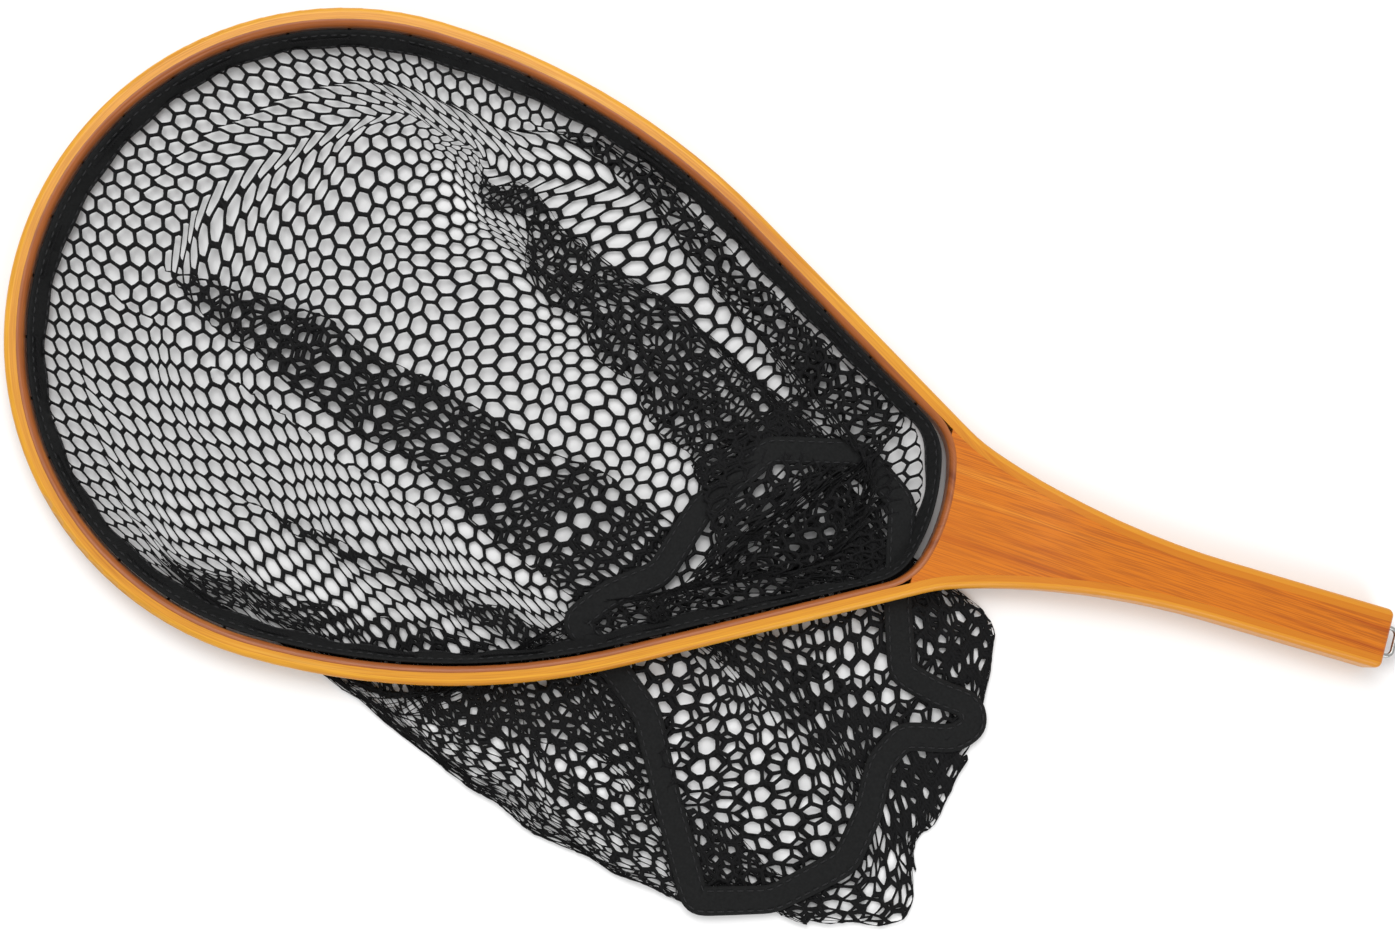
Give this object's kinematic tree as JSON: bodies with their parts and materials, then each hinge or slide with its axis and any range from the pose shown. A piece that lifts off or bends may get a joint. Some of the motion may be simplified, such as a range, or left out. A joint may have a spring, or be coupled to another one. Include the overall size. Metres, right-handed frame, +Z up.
{
  "type": "landing net",
  "caption": "Wooden trout landing net lying flat: laminated hoop and handle, black hexagonal-mesh bag laced inside the hoop and dragged out beside it.",
  "frame": {"origin": "on the surface that the net lies on, under the middle of the whole object's box", "axes": "+X along the handle towards its butt, +Y towards the far side of the hoop, away from the dragged-out bag, +Z up"},
  "size_m": [0.627, 0.3405, 0.018],
  "materials": {
    "outer_wood": "gloss varnish",
    "middle_wood": "gloss varnish",
    "inner_wood": "gloss varnish",
    "core_wood": "gloss varnish",
    "bail_wire": "satin",
    "lacing": "braided",
    "tape": "woven",
    "thread": "twisted",
    "netting": "knitted"
  },
  "bodies": {
    "root": {"outer_lamination": "outer_wood", "middle_lamination": "middle_wood", "inner_lamination": "inner_wood", "handle_core": "core_wood", "lanyard_bail": "bail_wire", "lacing_cord": "lacing", "hem_tape": "tape", "hem_thread": "thread", "bag_side_net": "netting", "bag_bottom_net": "netting", "bottom_seam_tape": "tape", "seam_thread": "thread"}
  },
  "joints": []
}
